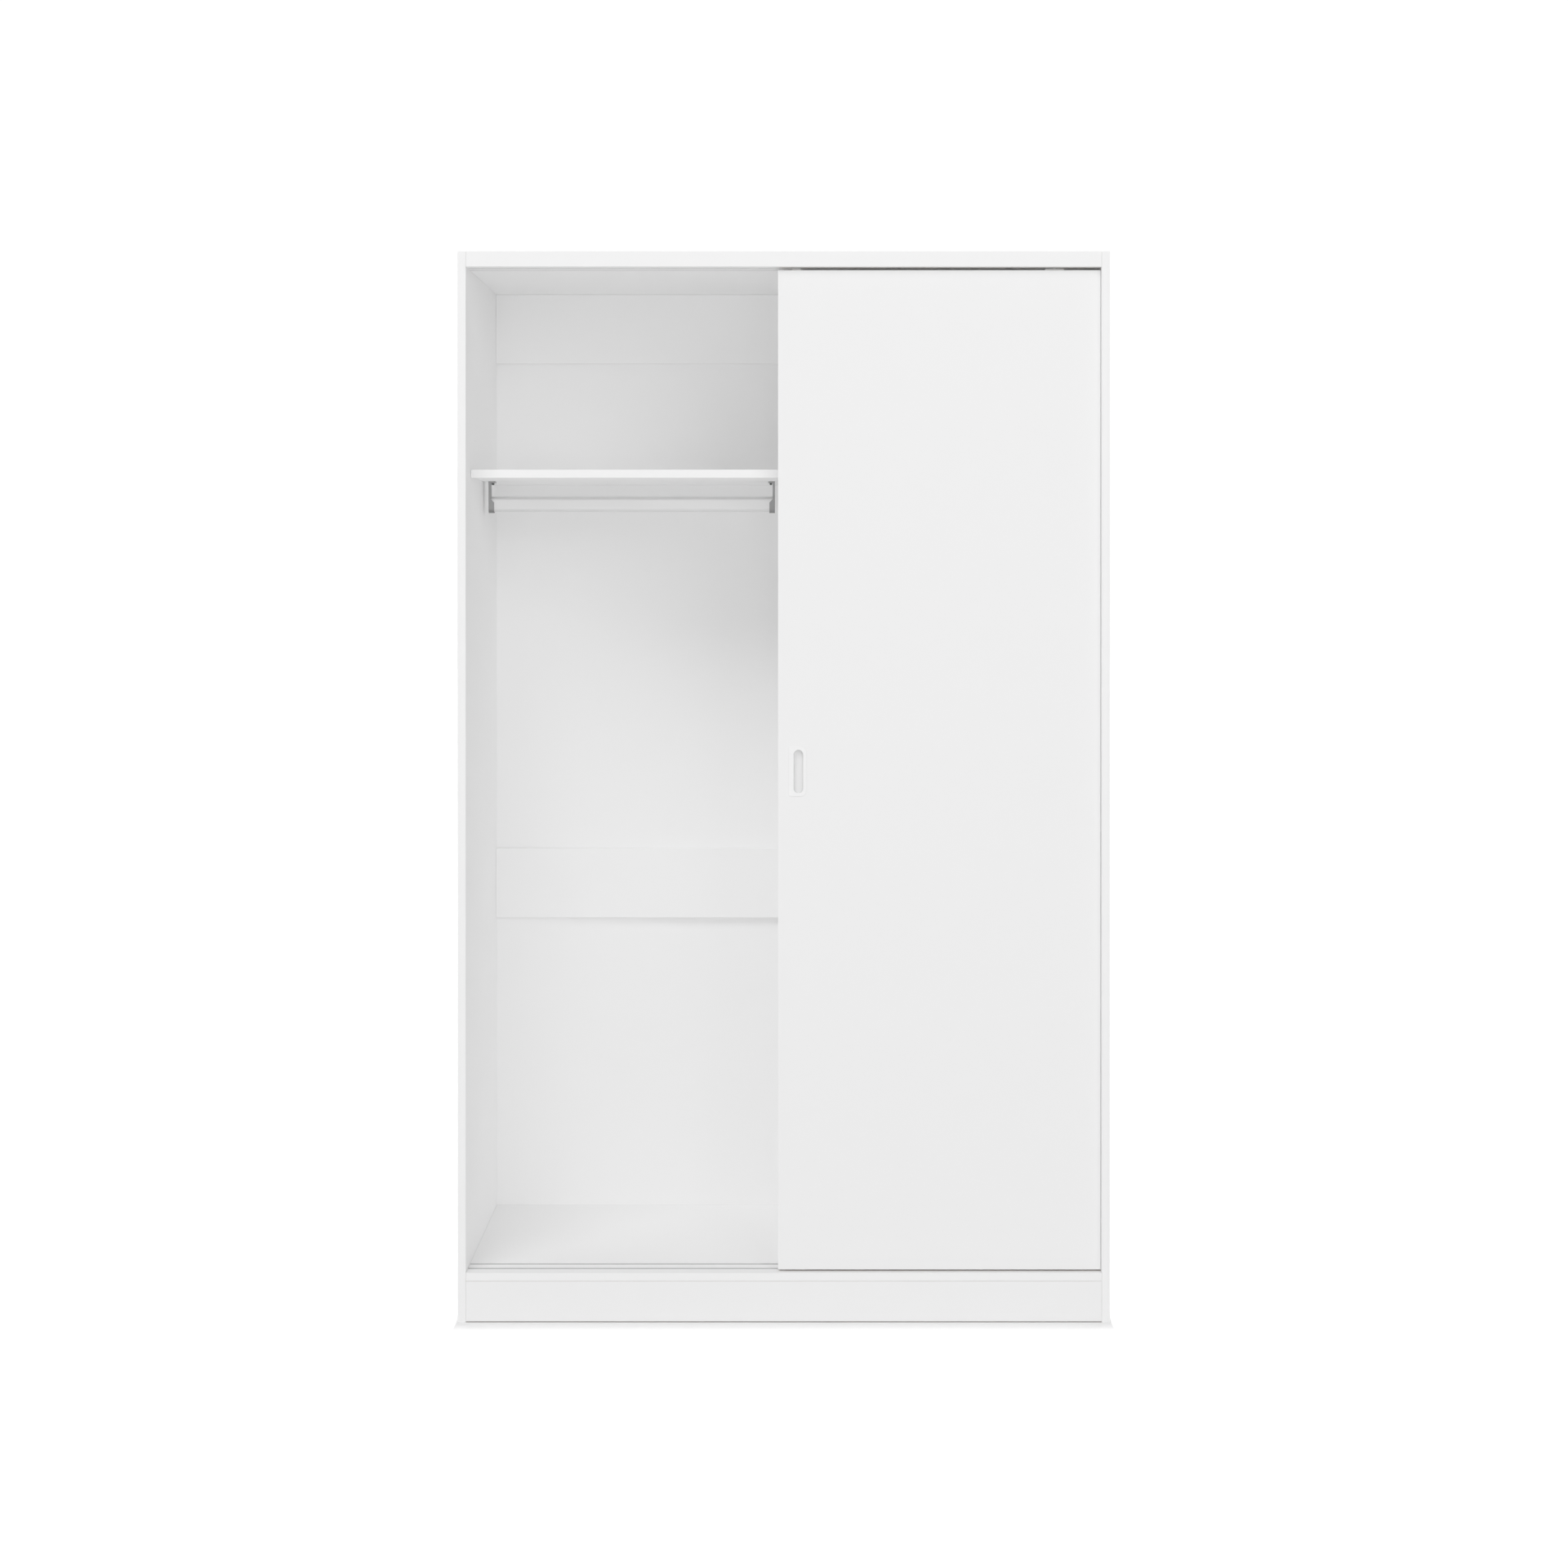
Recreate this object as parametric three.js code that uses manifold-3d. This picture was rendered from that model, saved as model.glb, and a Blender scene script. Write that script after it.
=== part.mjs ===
// Two-door sliding wardrobe in white laminated board.
//
// Frame: millimetres, +Z up, the front faces -Y, the origin is on the floor at the middle of the
// footprint. Both doors stand at the right-hand end of their travel, so the left bay is open.
// "Depth" below always means the distance behind the front edge of the carcass.

import * as THREE from "three";
import { mergeVertices } from "three/addons/utils/BufferGeometryUtils.js";
import Module from "manifold-3d";

const wasm = await Module();
wasm.setup();

// ---- Driving dimensions ----------------------------------------------------------------------

const WIDTH = 1200;
const DEPTH = 520;
const HEIGHT = 1970;
const BOARD = 15;
const TOP_BOARD = 28;
const BACK_SHEET = 3;
const BACK_SHEET_INSET = 2;
const BACK_SEAM_HEIGHT = 1563.5; // behind the shelf
const FIT = 0.3; // play left between neighbouring pieces
const SEAT = 0.1; // gap under a flange or head that lies on a face
const OVERCUT = 5; // how far a cutting tool runs past the face it opens

const BASE_HEIGHT = 76; // underside of the bottom panel
const PLINTH_LIFT = 2; // the plinth boards stay clear of the floor
const PLINTH_REAR_INSET = 20;

const INNER_DEPTH = 72; // front edge of the shelves and of the divider
const RAIL_BOARD_HEIGHT = 140;
const MIDDLE_RAIL_BOTTOM = 678;

const SHELF_CENTRES = { left: 1563.5, right_upper: 1563.5, right_middle: 1070, right_lower: 580 };
const SHELF_END_PLAY = 1;
const PIN_DEPTHS = { front: 141, rear: 498 };
const PIN_PITCH = 64; // each adjustable shelf can move one hole up or down
const PIN_RADIUS = 2.5;
const PIN_LENGTH = 16;
const PIN_HOLE_DEPTH = 7; // in the upright boards; the rest of the pin is in the shelf

const RAIL_DEPTH = 290; // centre line of the hanging rail
const RAIL_BOTTOM = 1496.3;
const RAIL_SECTION = { width: 15, height: 30, wall: 1 };
const BRACKET = { gap: 10, plate: 4.5, cradle: 11, wall: 2, width: 26, tab: 13, tabThickness: 3 };
const BRACKET_ARM_RISE = 10; // the arms reach this far above the middle of the rail
const BRACKET_SCREW_DISTANCE = 8; // from the outer face of the plate
const SCREW = { head: 3, crown: 2, rim: 1, headHeight: 2.6, shank: 1.5, length: 14, tip: 3 };

const TRACK_DEPTHS = { front: 32, rear: 63 }; // centre lines of the two tracks
const TRACK_SLOT = 6; // clear width inside a track
const TRACK_WALL = 1.2;
const TRACK_END_PLAY = 1;
const TOP_TRACK_HEIGHT = 20;
const BOTTOM_TRACK_HEIGHT = 9;

const DOOR = { width: 594.5, bottom: 94.5, top: 1936.5, endPlay: 1 };
const DOOR_FACE_TO_TRACK = 20; // the door's face stands this far in front of its track

const PULL = { width: 33.5, height: 93, edgeDistance: 19.5, proud: 1.5, wall: 1.5 };
const PULL_ABOVE_DOOR_BOTTOM = 918; // middle of the recess
const PULL_RECESS = { width: 18, height: 80, depth: 10, shift: 1.25 };
const PULL_CORNERS = { edgeSide: 3, innerSide: 12 };

const WHEEL = { radius: 13, width: 5, bore: 2.3, hub: 4.8, rimInner: 10.2, web: 2.4, roundOff: 0.6 };
const AXLE = { radius: 2, play: 0.2, head: 3.4, crown: 2.4, rim: 0.5, headHeight: 1 };
const ROLLER_FROM_EDGE = 34; // centre of a roller, measured from the door's side edge
const HOUSING = { width: 40, height: 46, thickness: 10.8, topCorner: 6, footCorner: 1, lift: 2 };
const WHEEL_SLOT_PLAY = 1.2;
const GUIDE_THICKNESS = 9.7;
const TONGUE = { thickness: 5, rise: 14.5 };
const NARROW_GUIDE = { width: 17, height: 38, fromEdge: 34 };
const WIDE_GUIDE = { width: 35, height: 50.5, fromEdge: 83, aboveDoor: 4.5 };

const ROUND_STEPS = 20;
const SLOT_STEPS = 40;
const HOLE_STEPS = 12;

// ---- Derived places --------------------------------------------------------------------------

const outerX = WIDTH / 2;
const innerX = outerX - BOARD;
const backY = DEPTH / 2 - BACK_SHEET; // rear edges of the boards
const floorTop = BASE_HEIGHT + BOARD;
const topUnderside = HEIGHT - TOP_BOARD;
const shelfUnderside = SHELF_CENTRES.left - BOARD / 2;
const restDoorCentre = innerX - DOOR.endPlay - DOOR.width / 2;

const atDepth = (depth) => depth - DEPTH / 2;

// ---- Materials -------------------------------------------------------------------------------

const finishes = {
  white_board: new THREE.MeshStandardMaterial({ color: 0xf1f1f0, roughness: 0.5, metalness: 0 }),
  back_sheet: new THREE.MeshStandardMaterial({ color: 0xececeb, roughness: 0.6, metalness: 0 }),
  white_plastic: new THREE.MeshStandardMaterial({ color: 0xf2f2f1, roughness: 0.4, metalness: 0 }),
  nylon: new THREE.MeshStandardMaterial({ color: 0xe4e4e0, roughness: 0.45, metalness: 0 }),
  grey_plastic: new THREE.MeshStandardMaterial({ color: 0xbababa, roughness: 0.4, metalness: 0 }),
  zinc: new THREE.MeshStandardMaterial({ color: 0x7e8083, roughness: 0.45, metalness: 1 }),
  bright_metal: new THREE.MeshStandardMaterial({ color: 0xd8dadc, roughness: 0.25, metalness: 1 }),
  steel: new THREE.MeshStandardMaterial({ color: 0x8c8e90, roughness: 0.35, metalness: 1 }),
  black_steel: new THREE.MeshStandardMaterial({ color: 0x37383a, roughness: 0.45, metalness: 1 }),
};

const wardrobe = new THREE.Group();

function addMesh(parent, name, geometry, finish) {
  const mesh = new THREE.Mesh(geometry, finishes[finish]);
  mesh.name = name;
  parent.add(mesh);
  return mesh;
}

// ---- Solids: joining and cutting -------------------------------------------------------------

function toSolid(geometry) {
  const bare = geometry.clone();
  bare.deleteAttribute("normal");
  bare.deleteAttribute("uv");
  const merged = mergeVertices(bare, 1e-4);
  const shell = new wasm.Mesh({
    numProp: 3,
    vertProperties: merged.attributes.position.array,
    triVerts: new Uint32Array(merged.index.array),
  });
  return new wasm.Manifold(shell);
}

function toGeometry(solid) {
  const shell = solid.getMesh();
  const geometry = new THREE.BufferGeometry();
  geometry.setAttribute("position", new THREE.BufferAttribute(shell.vertProperties, 3));
  geometry.setIndex(new THREE.BufferAttribute(shell.triVerts, 1));
  geometry.computeVertexNormals();
  return geometry;
}

function cut(body, ...tools) {
  return toGeometry(tools.reduce((left, tool) => left.subtract(toSolid(tool)), toSolid(body)));
}

function join(...pieces) {
  return toGeometry(pieces.map(toSolid).reduce((whole, piece) => whole.add(piece)));
}

// ---- Shapes ----------------------------------------------------------------------------------

// A box given by its lowest and highest X, Y and Z.
function slab([x0, x1], [y0, y1], [z0, z1]) {
  const box = new THREE.BoxGeometry(x1 - x0, y1 - y0, z1 - z0);
  return box.translate((x0 + x1) / 2, (y0 + y1) / 2, (z0 + z1) / 2);
}

// An outline drawn in Y and Z, drawn out along +X from x = 0.
function drawnAlongX(shape, length, curveSegments = 10) {
  const toX = new THREE.Matrix4().makeBasis(
    new THREE.Vector3(0, 1, 0),
    new THREE.Vector3(0, 0, 1),
    new THREE.Vector3(1, 0, 0),
  );
  const options = { depth: length, bevelEnabled: false, curveSegments };
  return new THREE.ExtrudeGeometry(shape, options).applyMatrix4(toX);
}

// An outline drawn in X and Z, drawn out from y = 0 to y = thickness.
function drawnAlongY(shape, thickness, curveSegments = 8) {
  const options = { depth: thickness, bevelEnabled: false, curveSegments };
  return new THREE.ExtrudeGeometry(shape, options).rotateX(Math.PI / 2).translate(0, thickness, 0);
}

// A rectangle centred on the origin with its own radius at each corner.
function roundedOutline(width, height, { bottomLeft, bottomRight, topRight, topLeft }) {
  const right = width / 2;
  const top = height / 2;
  const shape = new THREE.Shape();
  shape.moveTo(-right + bottomLeft, -top);
  shape.lineTo(right - bottomRight, -top);
  shape.absarc(right - bottomRight, -top + bottomRight, bottomRight, -Math.PI / 2, 0, false);
  shape.lineTo(right, top - topRight);
  shape.absarc(right - topRight, top - topRight, topRight, 0, Math.PI / 2, false);
  shape.lineTo(-right + topLeft, top);
  shape.absarc(-right + topLeft, top - topLeft, topLeft, Math.PI / 2, Math.PI, false);
  shape.lineTo(-right, -top + bottomLeft);
  shape.absarc(-right + bottomLeft, -top + bottomLeft, bottomLeft, Math.PI, 1.5 * Math.PI, false);
  return shape;
}

// An upright slot outline with full-round ends, centred on the origin.
function slotOutline(width, height) {
  const radius = width / 2;
  const reach = height / 2 - radius;
  const shape = new THREE.Shape();
  shape.absarc(0, reach, radius, 0, Math.PI, false);
  shape.absarc(0, -reach, radius, Math.PI, 2 * Math.PI, false);
  shape.closePath();
  return shape;
}

// Turns a profile of [radius, y] points about the Y axis.
function turned(points, steps = ROUND_STEPS) {
  return new THREE.LatheGeometry(
    points.map(([radius, y]) => new THREE.Vector2(radius, y)),
    steps,
  );
}

function rodAlongX(radius, length, steps = HOLE_STEPS) {
  return new THREE.CylinderGeometry(radius, radius, length, steps).rotateZ(Math.PI / 2);
}

function rodAlongZ(radius, length, steps = HOLE_STEPS) {
  return new THREE.CylinderGeometry(radius, radius, length, steps).rotateX(Math.PI / 2);
}

// ---- Carcass ---------------------------------------------------------------------------------

// Cutters for the pin holes of one adjustable shelf, in the face at "faceX" of an upright board.
function pinHoles(faceX, shelfCentre) {
  const holes = [];
  for (const level of [-PIN_PITCH, 0, PIN_PITCH]) {
    for (const depth of Object.values(PIN_DEPTHS)) {
      const hole = rodAlongX(PIN_RADIUS + FIT, 2 * PIN_HOLE_DEPTH);
      holes.push(hole.translate(faceX, atDepth(depth), shelfCentre + level));
    }
  }
  return holes;
}

function addSidePanels() {
  const across = (side) => (side < 0 ? [-outerX, -innerX] : [innerX, outerX]);
  const panel = (side) => slab(across(side), [-DEPTH / 2, backY], [0, HEIGHT]);
  const leftHoles = pinHoles(-innerX, SHELF_CENTRES.left);
  const rightHoles = [
    ...pinHoles(innerX, SHELF_CENTRES.right_upper),
    ...pinHoles(innerX, SHELF_CENTRES.right_lower),
  ];
  addMesh(wardrobe, "side_panel_left", cut(panel(-1), ...leftHoles), "white_board");
  addMesh(wardrobe, "side_panel_right", cut(panel(1), ...rightHoles), "white_board");
}

// Cutters for the grooves that hold the two tracks, between a lowest and a highest Z.
function trackGrooves(levels) {
  const half = TRACK_SLOT / 2 + TRACK_WALL + FIT;
  return Object.values(TRACK_DEPTHS).map((depth) =>
    slab([-outerX, outerX], [atDepth(depth) - half, atDepth(depth) + half], levels),
  );
}

function addTopAndBottom() {
  const across = [-innerX + FIT, innerX - FIT];
  const along = [-DEPTH / 2, backY - FIT];
  const topGrooves = trackGrooves([topUnderside - OVERCUT, topUnderside + TOP_TRACK_HEIGHT + FIT]);
  const bottomGrooves = trackGrooves([floorTop - BOTTOM_TRACK_HEIGHT - FIT, floorTop + OVERCUT]);
  const top = cut(slab(across, along, [topUnderside, HEIGHT]), ...topGrooves);
  const bottom = cut(slab(across, along, [BASE_HEIGHT, floorTop]), ...bottomGrooves);
  addMesh(wardrobe, "top_panel", top, "white_board");
  addMesh(wardrobe, "bottom_panel", bottom, "white_board");
}

function addPlinth() {
  const across = [-innerX + FIT, innerX - FIT];
  const rearBack = backY - PLINTH_REAR_INSET;
  const height = [PLINTH_LIFT, BASE_HEIGHT - FIT];
  const frontBoard = slab(across, [-DEPTH / 2, -DEPTH / 2 + BOARD], height);
  const rearBoard = slab(across, [rearBack - BOARD, rearBack], height);
  const brace = slab(
    [-BOARD / 2, BOARD / 2],
    [-DEPTH / 2 + BOARD + FIT, rearBack - BOARD - FIT],
    [0, BASE_HEIGHT - FIT],
  );
  addMesh(wardrobe, "plinth_front", frontBoard, "white_board");
  addMesh(wardrobe, "plinth_rear", rearBoard, "white_board");
  addMesh(wardrobe, "plinth_brace", brace, "white_board");
}

function addDivider() {
  const body = slab(
    [-BOARD / 2, BOARD / 2],
    [atDepth(INNER_DEPTH), backY - FIT],
    [floorTop + FIT, topUnderside - FIT],
  );
  const holes = [
    ...pinHoles(-BOARD / 2, SHELF_CENTRES.left),
    ...pinHoles(BOARD / 2, SHELF_CENTRES.right_upper),
    ...pinHoles(BOARD / 2, SHELF_CENTRES.right_lower),
  ];
  addMesh(wardrobe, "centre_divider", cut(body, ...holes), "white_board");
}

// Stiffening boards that stand between the uprights, just in front of the back sheets.
function addBackRails() {
  const along = [backY - FIT - BOARD, backY - FIT];
  const levels = {
    top: [topUnderside - FIT - RAIL_BOARD_HEIGHT, topUnderside - FIT],
    middle: [MIDDLE_RAIL_BOTTOM, MIDDLE_RAIL_BOTTOM + RAIL_BOARD_HEIGHT],
  };
  const bays = {
    left: [-innerX + FIT, -BOARD / 2 - FIT],
    right: [BOARD / 2 + FIT, innerX - FIT],
  };
  for (const [level, heights] of Object.entries(levels)) {
    for (const [bay, across] of Object.entries(bays)) {
      addMesh(wardrobe, `${level}_rail_${bay}`, slab(across, along, heights), "white_board");
    }
  }
}

function addBackSheets() {
  const across = [-outerX + BACK_SHEET_INSET, outerX - BACK_SHEET_INSET];
  const along = [backY, DEPTH / 2];
  const upper = [BACK_SEAM_HEIGHT + FIT, HEIGHT - BACK_SHEET_INSET];
  const lower = [BASE_HEIGHT + BACK_SHEET_INSET, BACK_SEAM_HEIGHT - FIT];
  addMesh(wardrobe, "back_panel_upper", slab(across, along, upper), "back_sheet");
  addMesh(wardrobe, "back_panel_lower", slab(across, along, lower), "back_sheet");
}

// ---- Shelves and their pins ------------------------------------------------------------------

function bayOf(shelf) {
  const inner = BOARD / 2 + SHELF_END_PLAY;
  const outer = innerX - SHELF_END_PLAY;
  return shelf === "left" ? [-outer, -inner] : [inner, outer];
}

// The pin bores in both ends of a shelf.
function shelfBores([x0, x1], centre) {
  const reach = PIN_LENGTH - PIN_HOLE_DEPTH;
  const bores = [];
  for (const end of [x0, x1]) {
    for (const depth of Object.values(PIN_DEPTHS)) {
      bores.push(rodAlongX(PIN_RADIUS + FIT, 2 * reach).translate(end, atDepth(depth), centre));
    }
  }
  return bores;
}

// Bores for the bracket screws in the underside of the shelf over the rail.
function screwPilots(centreXs) {
  const reach = SCREW.length - BRACKET.tabThickness + FIT;
  return centreXs.map((x) =>
    rodAlongZ(SCREW.shank + FIT, 2 * reach).translate(x, atDepth(RAIL_DEPTH), shelfUnderside),
  );
}

function addShelfPins(shelf, [x0, x1], centre) {
  const inset = PIN_LENGTH / 2 - PIN_HOLE_DEPTH;
  for (const [end, x] of Object.entries({ left: x0 + inset, right: x1 - inset })) {
    for (const [place, depth] of Object.entries(PIN_DEPTHS)) {
      const pin = addMesh(
        wardrobe,
        `shelf_pin_${shelf}_${place}_${end}`,
        rodAlongX(PIN_RADIUS, PIN_LENGTH - 2 * FIT),
        "steel",
      );
      pin.position.set(x, atDepth(depth), centre);
    }
  }
}

function addShelves(bracketScrewXs) {
  for (const [shelf, centre] of Object.entries(SHELF_CENTRES)) {
    const isFixed = shelf === "right_middle";
    const across = isFixed ? [BOARD / 2 + FIT, innerX - FIT] : bayOf(shelf);
    const board = slab(
      across,
      [atDepth(INNER_DEPTH), backY - SHELF_END_PLAY],
      [centre - BOARD / 2, centre + BOARD / 2],
    );
    if (isFixed) {
      addMesh(wardrobe, `shelf_${shelf}`, board, "white_board");
      continue;
    }
    const pilots = shelf === "left" ? screwPilots(bracketScrewXs) : [];
    const bored = cut(board, ...shelfBores(across, centre), ...pilots);
    addMesh(wardrobe, `shelf_${shelf}`, bored, "white_board");
    addShelfPins(shelf, across, centre);
  }
}

// ---- Hanging rail ----------------------------------------------------------------------------

// The outer faces of the two bracket plates, and how each bracket is turned about Z.
const brackets = {
  left: { x: -innerX + BRACKET.gap, inward: 1, turn: 0 },
  right: { x: -BOARD / 2 - BRACKET.gap, inward: -1, turn: Math.PI },
};

function bracketScrewX({ x, inward }) {
  return x + inward * BRACKET_SCREW_DISTANCE;
}

// A bracket in its own frame: x = 0 is the plate's outer face, +X points along the rail, y = 0 is
// the rail's centre line and z = 0 is the underside of the shelf.
function bracketGeometry() {
  const railHeight = RAIL_SECTION.height;
  const railMiddle = RAIL_BOTTOM + railHeight / 2 - shelfUnderside;
  const outerWidth = RAIL_SECTION.width + 2 * (BRACKET.wall + FIT);
  const outerHeight = railHeight + 2 * BRACKET.wall;

  const rim = slotOutline(outerWidth, outerHeight);
  const cradle = drawnAlongX(rim, BRACKET.cradle).translate(0, 0, railMiddle);
  const plate = slab([0, BRACKET.plate], [-outerWidth / 2, outerWidth / 2], [railMiddle, 0]);
  const tab = slab(
    [0, BRACKET.tab],
    [-BRACKET.width / 2, BRACKET.width / 2],
    [-BRACKET.tabThickness, 0],
  );

  // The cradle is open at the top, and its arms slope down away from the plate.
  const seat = slotOutline(RAIL_SECTION.width + 2 * FIT, railHeight + 2 * FIT);
  const railSpace = drawnAlongX(seat, BRACKET.tab).translate(BRACKET.plate, 0, railMiddle);
  const armTop = railMiddle + BRACKET_ARM_RISE;
  const slope = BRACKET.cradle - BRACKET.plate;
  const aboveArms = new THREE.Shape();
  aboveArms.moveTo(BRACKET.plate, -BRACKET.tabThickness);
  aboveArms.lineTo(BRACKET.plate, armTop);
  aboveArms.lineTo(BRACKET.plate + slope, armTop - slope);
  aboveArms.lineTo(2 * BRACKET.tab, armTop - slope);
  aboveArms.lineTo(2 * BRACKET.tab, -BRACKET.tabThickness);
  const clearance = drawnAlongY(aboveArms, 2 * outerWidth).translate(0, -outerWidth, 0);
  const screwHole = rodAlongZ(SCREW.shank + FIT, 4 * BRACKET.tabThickness);
  screwHole.translate(BRACKET_SCREW_DISTANCE, 0, 0);
  return cut(join(cradle, plate, tab), railSpace, clearance, screwHole);
}

function screwGeometry() {
  const profile = [
    [0, -SCREW.headHeight],
    [SCREW.crown, -SCREW.headHeight],
    [SCREW.head, -SCREW.rim],
    [SCREW.head, 0],
    [SCREW.shank, 0],
    [SCREW.shank, SCREW.length - SCREW.tip],
    [0, SCREW.length],
  ];
  return turned(profile, HOLE_STEPS).rotateX(Math.PI / 2);
}

function addHangingRail() {
  const y = atDepth(RAIL_DEPTH);
  for (const [end, place] of Object.entries(brackets)) {
    const bracket = addMesh(wardrobe, `rail_bracket_${end}`, bracketGeometry(), "zinc");
    bracket.position.set(place.x, y, shelfUnderside - FIT);
    bracket.rotation.z = place.turn;
    const screw = addMesh(wardrobe, `rail_bracket_screw_${end}`, screwGeometry(), "black_steel");
    screw.position.set(bracketScrewX(place), y, shelfUnderside - 2 * FIT - BRACKET.tabThickness);
  }

  const { width, height, wall } = RAIL_SECTION;
  const section = slotOutline(width, height);
  section.holes.push(slotOutline(width - 2 * wall, height - 2 * wall));
  const start = brackets.left.x + BRACKET.plate + FIT;
  const finish = brackets.right.x - BRACKET.plate - FIT;
  const tube = addMesh(
    wardrobe,
    "hanging_rail",
    drawnAlongX(section, finish - start),
    "bright_metal",
  );
  tube.position.set(start, y, RAIL_BOTTOM + height / 2);
}

// ---- Tracks ----------------------------------------------------------------------------------

// A channel section open upwards, centred on y = 0 with its mouth at z = 0.
function channelOutline(height) {
  const inner = TRACK_SLOT / 2;
  const outer = inner + TRACK_WALL;
  const shape = new THREE.Shape();
  shape.moveTo(-outer, 0);
  shape.lineTo(-outer, -height);
  shape.lineTo(outer, -height);
  shape.lineTo(outer, 0);
  shape.lineTo(inner, 0);
  shape.lineTo(inner, -height + TRACK_WALL);
  shape.lineTo(-inner, -height + TRACK_WALL);
  shape.lineTo(-inner, 0);
  return shape;
}

function addTracks() {
  const length = 2 * (innerX - TRACK_END_PLAY);
  for (const [place, depth] of Object.entries(TRACK_DEPTHS)) {
    const lowerChannel = drawnAlongX(channelOutline(BOTTOM_TRACK_HEIGHT), length);
    const lower = addMesh(wardrobe, `bottom_track_${place}`, lowerChannel, "grey_plastic");
    lower.position.set(-length / 2, atDepth(depth), floorTop);
    const upperChannel = drawnAlongX(channelOutline(TOP_TRACK_HEIGHT), length).rotateX(Math.PI);
    const upper = addMesh(wardrobe, `top_track_${place}`, upperChannel, "grey_plastic");
    upper.position.set(-length / 2, atDepth(depth), topUnderside);
  }
}

// ---- Doors -----------------------------------------------------------------------------------
// Each door is a group whose origin is on the door's face, at the bottom edge and mid width. Its
// pull is near the edge on "pullSide", -1 for left and 1 for right.

const doorHeight = DOOR.top - DOOR.bottom;
const recessFromEdge = PULL.edgeDistance + PULL.width / 2 + PULL_RECESS.shift;
const cupSize = {
  width: PULL_RECESS.width + 2 * PULL.wall,
  height: PULL_RECESS.height + 2 * PULL.wall,
  depth: PULL_RECESS.depth - PULL.proud + PULL.wall,
};

function pullMortise(pullSide) {
  const outline = slotOutline(cupSize.width + 2 * FIT, cupSize.height + 2 * FIT);
  const x = pullSide * (DOOR.width / 2 - recessFromEdge);
  const mortise = drawnAlongY(outline, cupSize.depth + FIT + OVERCUT);
  return mortise.translate(x, -OVERCUT, PULL_ABOVE_DOOR_BOTTOM);
}

// The pull's origin is at the middle of its recess, on the door's face.
function pullGeometry(pullSide) {
  const { edgeSide, innerSide } = PULL_CORNERS;
  const corners = {
    bottomLeft: pullSide < 0 ? edgeSide : innerSide,
    topLeft: pullSide < 0 ? edgeSide : innerSide,
    bottomRight: pullSide < 0 ? innerSide : edgeSide,
    topRight: pullSide < 0 ? innerSide : edgeSide,
  };
  const flange = drawnAlongY(roundedOutline(PULL.width, PULL.height, corners), PULL.proud);
  flange.translate(pullSide * PULL_RECESS.shift, -PULL.proud, 0);
  const cup = drawnAlongY(slotOutline(cupSize.width, cupSize.height), cupSize.depth + PULL.proud / 2);
  cup.translate(0, -PULL.proud / 2, 0);
  const recess = drawnAlongY(slotOutline(PULL_RECESS.width, PULL_RECESS.height), 2 * PULL_RECESS.depth);
  recess.translate(0, -PULL.proud - PULL_RECESS.depth, 0);
  return cut(join(flange, cup), recess);
}

function wheelGeometry() {
  const { radius, width, bore, hub, rimInner, web, roundOff } = WHEEL;
  const side = width / 2;
  const flat = web / 2;
  return turned([
    [bore, -side],
    [hub, -side],
    [hub, -flat],
    [rimInner, -flat],
    [rimInner, -side],
    [radius - roundOff, -side],
    [radius, -side + roundOff],
    [radius, side - roundOff],
    [radius - roundOff, side],
    [rimInner, side],
    [rimInner, flat],
    [hub, flat],
    [hub, side],
    [bore, side],
    [bore, -side],
  ]);
}

// The housing's origin is at the wheel's centre; it stands against the back of the door.
function housingGeometry(wheelHeight, doorBack) {
  const outline = roundedOutline(HOUSING.width, HOUSING.height, {
    bottomLeft: HOUSING.footCorner,
    bottomRight: HOUSING.footCorner,
    topRight: HOUSING.topCorner,
    topLeft: HOUSING.topCorner,
  });
  const body = drawnAlongY(outline, HOUSING.thickness);
  body.translate(0, doorBack, HOUSING.lift - wheelHeight + HOUSING.height / 2);
  const slotRadius = WHEEL.radius + WHEEL_SLOT_PLAY;
  const slot = new THREE.CylinderGeometry(slotRadius, slotRadius, TRACK_SLOT, SLOT_STEPS);
  const boreRadius = AXLE.radius + AXLE.play;
  const boreLength = 2 * (HOUSING.thickness + OVERCUT);
  const bore = new THREE.CylinderGeometry(boreRadius, boreRadius, boreLength, HOLE_STEPS);
  return cut(body, slot, bore);
}

// The axle's origin is at the wheel's centre, and its head lies on the back of the housing.
function axleGeometry(doorBack) {
  const start = doorBack + FIT;
  const headFoot = doorBack + HOUSING.thickness + SEAT;
  const profile = [
    [0, start],
    [AXLE.radius, start],
    [AXLE.radius, headFoot],
    [AXLE.head, headFoot],
    [AXLE.head, headFoot + AXLE.rim],
    [AXLE.crown, headFoot + AXLE.headHeight],
    [0, headFoot + AXLE.headHeight],
  ];
  return turned(profile, HOLE_STEPS);
}

function addRoller(door, doorName, end, x) {
  const trackFloor = floorTop - BOTTOM_TRACK_HEIGHT + TRACK_WALL;
  const wheelZ = trackFloor + FIT + WHEEL.radius;
  const doorBack = BOARD + FIT - DOOR_FACE_TO_TRACK;
  const pieces = {
    roller_housing: [housingGeometry(wheelZ - floorTop, doorBack), "white_plastic"],
    roller_wheel: [wheelGeometry(), "nylon"],
    roller_axle: [axleGeometry(doorBack), "steel"],
  };
  for (const [piece, [geometry, finish]] of Object.entries(pieces)) {
    const mesh = addMesh(door, `${doorName}_${piece}_${end}`, geometry, finish);
    mesh.position.set(x, DOOR_FACE_TO_TRACK, wheelZ - DOOR.bottom);
  }
}

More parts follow.
